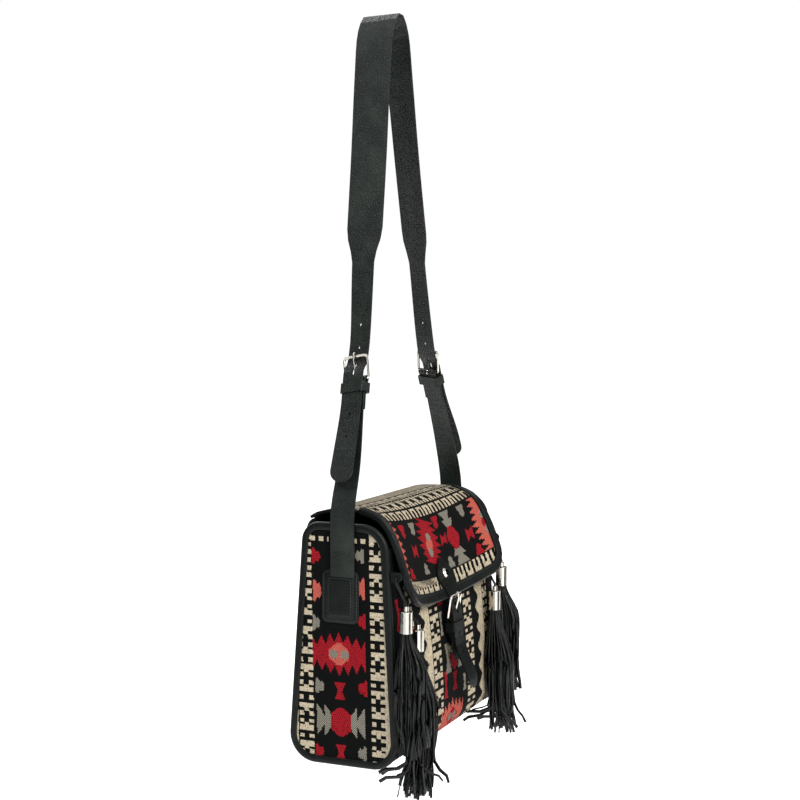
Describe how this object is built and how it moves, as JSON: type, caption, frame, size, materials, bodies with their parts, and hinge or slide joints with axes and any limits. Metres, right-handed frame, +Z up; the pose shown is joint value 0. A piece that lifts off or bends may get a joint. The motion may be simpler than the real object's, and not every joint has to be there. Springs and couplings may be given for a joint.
{
  "type": "crossbody satchel bag",
  "caption": "Structured crossbody satchel of patterned jacquard with leather piping, a hinged flap with a buckle tab, fringed tassels and a long adjustable shoulder strap.",
  "frame": {"origin": "middle of the bag's flat base", "axes": "+Z up, the front with the buckle faces -Y, +X runs across the bag to its right side"},
  "size_m": [0.305, 0.1486, 0.7818],
  "materials": {
    "cloth_body": "woven jacquard, matte",
    "cloth_side": "woven jacquard, matte",
    "cloth_flap": "woven jacquard, matte",
    "leather_trim": "smooth black leather, satin",
    "leather_strap": "pebbled black leather, satin",
    "leather_fringe": "thin black leather, cut in strands",
    "nickel": "polished nickel plate"
  },
  "bodies": {
    "bag": {"body_wrap": "cloth_body", "gusset_left": "cloth_side", "gusset_right": "cloth_side", "piping_left": "leather_trim", "piping_right": "leather_trim", "strap_patch_left": "leather_trim", "strap_patch_right": "leather_trim", "snap_socket": "nickel", "tassel_tab_outer_left": "leather_trim", "tassel_tab_inner_left": "leather_trim", "tassel_tab_outer_right": "leather_trim", "tassel_tab_inner_right": "leather_trim"},
    "flap": {"flap_panel": "cloth_flap", "flap_binding": "leather_trim", "closure_strap": "leather_strap", "closure_rivet": "nickel", "closure_buckle": "nickel", "closure_prong": "nickel", "closure_keeper": "leather_strap", "closure_backing": "leather_strap", "snap_stud": "nickel"},
    "strap": {"shoulder_strap": "leather_strap", "lower_strap_left": "leather_strap", "lower_strap_right": "leather_strap", "strap_buckle_left": "nickel", "strap_buckle_right": "nickel", "strap_prong_left": "nickel", "strap_prong_right": "nickel", "strap_keeper_left": "leather_strap", "strap_keeper_right": "leather_strap"},
    "tassel_outer_left": {"tassel_lace_outer_left": "leather_fringe", "tassel_cap_outer_left": "nickel", "tassel_fringe_outer_left": "leather_fringe"},
    "tassel_inner_left": {"tassel_lace_inner_left": "leather_fringe", "tassel_cap_inner_left": "nickel", "tassel_fringe_inner_left": "leather_fringe"},
    "tassel_outer_right": {"tassel_lace_outer_right": "leather_fringe", "tassel_cap_outer_right": "nickel", "tassel_fringe_outer_right": "leather_fringe"},
    "tassel_inner_right": {"tassel_lace_inner_right": "leather_fringe", "tassel_cap_inner_right": "nickel", "tassel_fringe_inner_right": "leather_fringe"}
  },
  "joints": [
    {"name": "flap_hinge", "type": "hinge", "parent": "bag", "child": "flap", "pos_m": [0, 0.044, 0.2415], "axis": [-1, 0, 0], "range_deg": [0, 80]},
    {"name": "strap_swing", "type": "hinge", "parent": "bag", "child": "strap", "pos_m": [0, 0.0005, 0.2065], "axis": [-1, 0, 0], "range_deg": [0, 80]},
    {"name": "tassel_swing_outer_left", "type": "hinge", "parent": "bag", "child": "tassel_outer_left", "pos_m": [-0.142, -0.0551, 0.1905], "axis": [-1, 0, 0], "range_deg": [0, 45]},
    {"name": "tassel_swing_inner_left", "type": "hinge", "parent": "bag", "child": "tassel_inner_left", "pos_m": [-0.1215, -0.0545, 0.162], "axis": [-1, 0, 0], "range_deg": [0, 45]},
    {"name": "tassel_swing_outer_right", "type": "hinge", "parent": "bag", "child": "tassel_outer_right", "pos_m": [0.142, -0.0551, 0.1905], "axis": [-1, 0, 0], "range_deg": [0, 45]},
    {"name": "tassel_swing_inner_right", "type": "hinge", "parent": "bag", "child": "tassel_inner_right", "pos_m": [0.1215, -0.0545, 0.162], "axis": [-1, 0, 0], "range_deg": [0, 45]}
  ],
  "couplings": [
    {"joint": "strap_swing", "follows": "flap_hinge", "ratio": 1}
  ]
}
